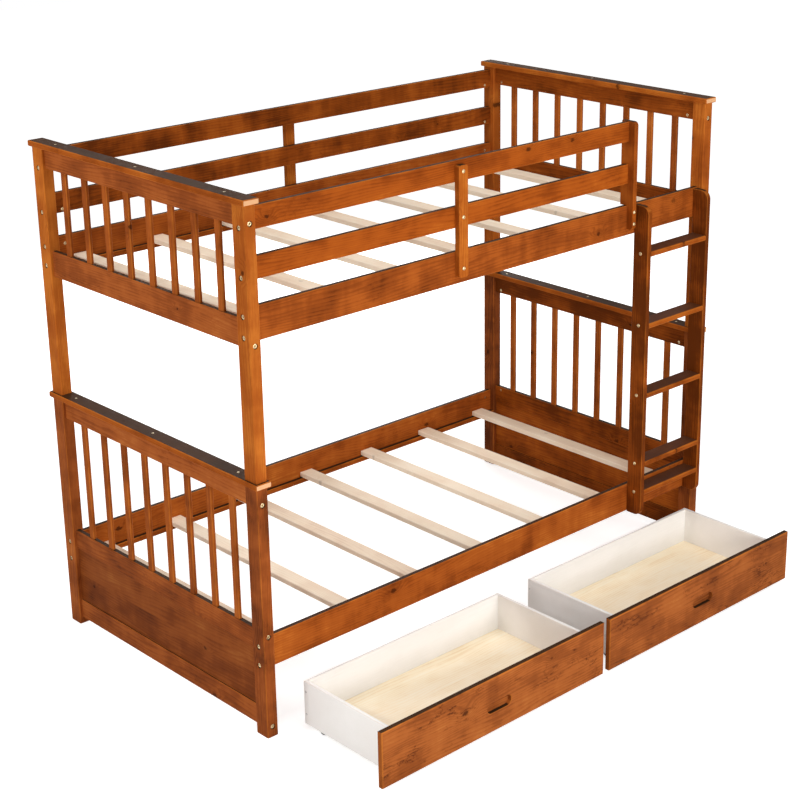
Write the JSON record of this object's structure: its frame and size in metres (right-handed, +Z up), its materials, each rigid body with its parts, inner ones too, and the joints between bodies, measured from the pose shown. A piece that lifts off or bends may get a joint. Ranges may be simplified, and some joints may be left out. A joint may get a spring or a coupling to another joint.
{
  "type": "bunk bed",
  "caption": "Stained timber bunk bed with slatted decks, spindle ends over solid panels, guard rails, an end ladder and rolling drawers that slide under the lower bed.",
  "frame": {"origin": "middle of the front left post's sole, on the floor", "axes": "+X along the bed from the left end to the ladder end, +Y from the front across to the back, +Z up"},
  "size_m": [2.016, 1.526, 1.642],
  "materials": {
    "stained_pine": "stained and varnished, satin",
    "slat_pine": "planed, unfinished",
    "drawer_box": "thin clear sealer, matt",
    "drawer_floor": "thin clear sealer, matt",
    "bracket_steel": "zinc plated, satin",
    "wheel_plastic": "moulded, matt",
    "pin_steel": "bright drawn"
  },
  "bodies": {
    "bed_frame": {"back_guard_boards": "stained_pine", "back_guard_strut": "stained_pine", "front_guard_boards": "stained_pine", "front_guard_end_strut": "stained_pine", "front_guard_strut": "stained_pine", "ladder_treads": "stained_pine", "left_ladder_stile": "stained_pine", "lower_back_side_rail": "stained_pine", "lower_front_side_rail": "stained_pine", "lower_left_back_post": "stained_pine", "lower_left_bottom_rail": "stained_pine", "lower_left_cap": "stained_pine", "lower_left_front_post": "stained_pine", "lower_left_middle_rail": "stained_pine", "lower_left_panel": "stained_pine", "lower_left_spindles": "stained_pine", "lower_left_top_rail": "stained_pine", "lower_right_back_post": "stained_pine", "lower_right_bottom_rail": "stained_pine", "lower_right_cap": "stained_pine", "lower_right_front_post": "stained_pine", "lower_right_middle_rail": "stained_pine", "lower_right_panel": "stained_pine", "lower_right_spindles": "stained_pine", "lower_right_top_rail": "stained_pine", "lower_slat_ledges": "stained_pine", "lower_slats": "slat_pine", "post_pins": "pin_steel", "right_ladder_stile": "stained_pine", "upper_back_side_rail": "stained_pine", "upper_front_side_rail": "stained_pine", "upper_left_back_post": "stained_pine", "upper_left_bottom_rail": "stained_pine", "upper_left_cap": "stained_pine", "upper_left_front_post": "stained_pine", "upper_left_spindles": "stained_pine", "upper_left_top_rail": "stained_pine", "upper_right_back_post": "stained_pine", "upper_right_bottom_rail": "stained_pine", "upper_right_cap": "stained_pine", "upper_right_front_post": "stained_pine", "upper_right_spindles": "stained_pine", "upper_right_top_rail": "stained_pine", "upper_slat_ledges": "stained_pine", "upper_slats": "slat_pine"},
    "left_drawer": {"left_drawer_back": "drawer_box", "left_drawer_casters": "bracket_steel", "left_drawer_floor": "drawer_floor", "left_drawer_front": "stained_pine", "left_drawer_sides": "drawer_box"},
    "left_drawer_front_wheels": {"left_drawer_front_wheels": "wheel_plastic"},
    "left_drawer_rear_wheels": {"left_drawer_rear_wheels": "wheel_plastic"},
    "right_drawer": {"right_drawer_back": "drawer_box", "right_drawer_casters": "bracket_steel", "right_drawer_floor": "drawer_floor", "right_drawer_front": "stained_pine", "right_drawer_sides": "drawer_box"},
    "right_drawer_front_wheels": {"right_drawer_front_wheels": "wheel_plastic"},
    "right_drawer_rear_wheels": {"right_drawer_rear_wheels": "wheel_plastic"}
  },
  "joints": [
    {"name": "left_drawer_slide", "type": "slide", "parent": "bed_frame", "child": "left_drawer", "axis": [0, 1, 0], "range_m": [0, 0.4675]},
    {"name": "left_drawer_front_wheels_roll", "type": "hinge", "parent": "left_drawer", "child": "left_drawer_front_wheels", "pos_m": [0.5015, -0.3985, 0.0165], "axis": [1, 0, 0], "continuous": true},
    {"name": "left_drawer_rear_wheels_roll", "type": "hinge", "parent": "left_drawer", "child": "left_drawer_rear_wheels", "pos_m": [0.5015, -0.1235, 0.0165], "axis": [1, 0, 0], "continuous": true},
    {"name": "right_drawer_slide", "type": "slide", "parent": "bed_frame", "child": "right_drawer", "axis": [0, 1, 0], "range_m": [0, 0.4675]},
    {"name": "right_drawer_front_wheels_roll", "type": "hinge", "parent": "right_drawer", "child": "right_drawer_front_wheels", "pos_m": [1.4595, -0.3985, 0.0165], "axis": [1, 0, 0], "continuous": true},
    {"name": "right_drawer_rear_wheels_roll", "type": "hinge", "parent": "right_drawer", "child": "right_drawer_rear_wheels", "pos_m": [1.4595, -0.1235, 0.0165], "axis": [1, 0, 0], "continuous": true}
  ],
  "couplings": [
    {"joint": "left_drawer_front_wheels_roll", "follows": "left_drawer_slide", "rad_per_m": -60.606},
    {"joint": "left_drawer_rear_wheels_roll", "follows": "left_drawer_slide", "rad_per_m": -60.606},
    {"joint": "right_drawer_front_wheels_roll", "follows": "right_drawer_slide", "rad_per_m": -60.606},
    {"joint": "right_drawer_rear_wheels_roll", "follows": "right_drawer_slide", "rad_per_m": -60.606}
  ]
}
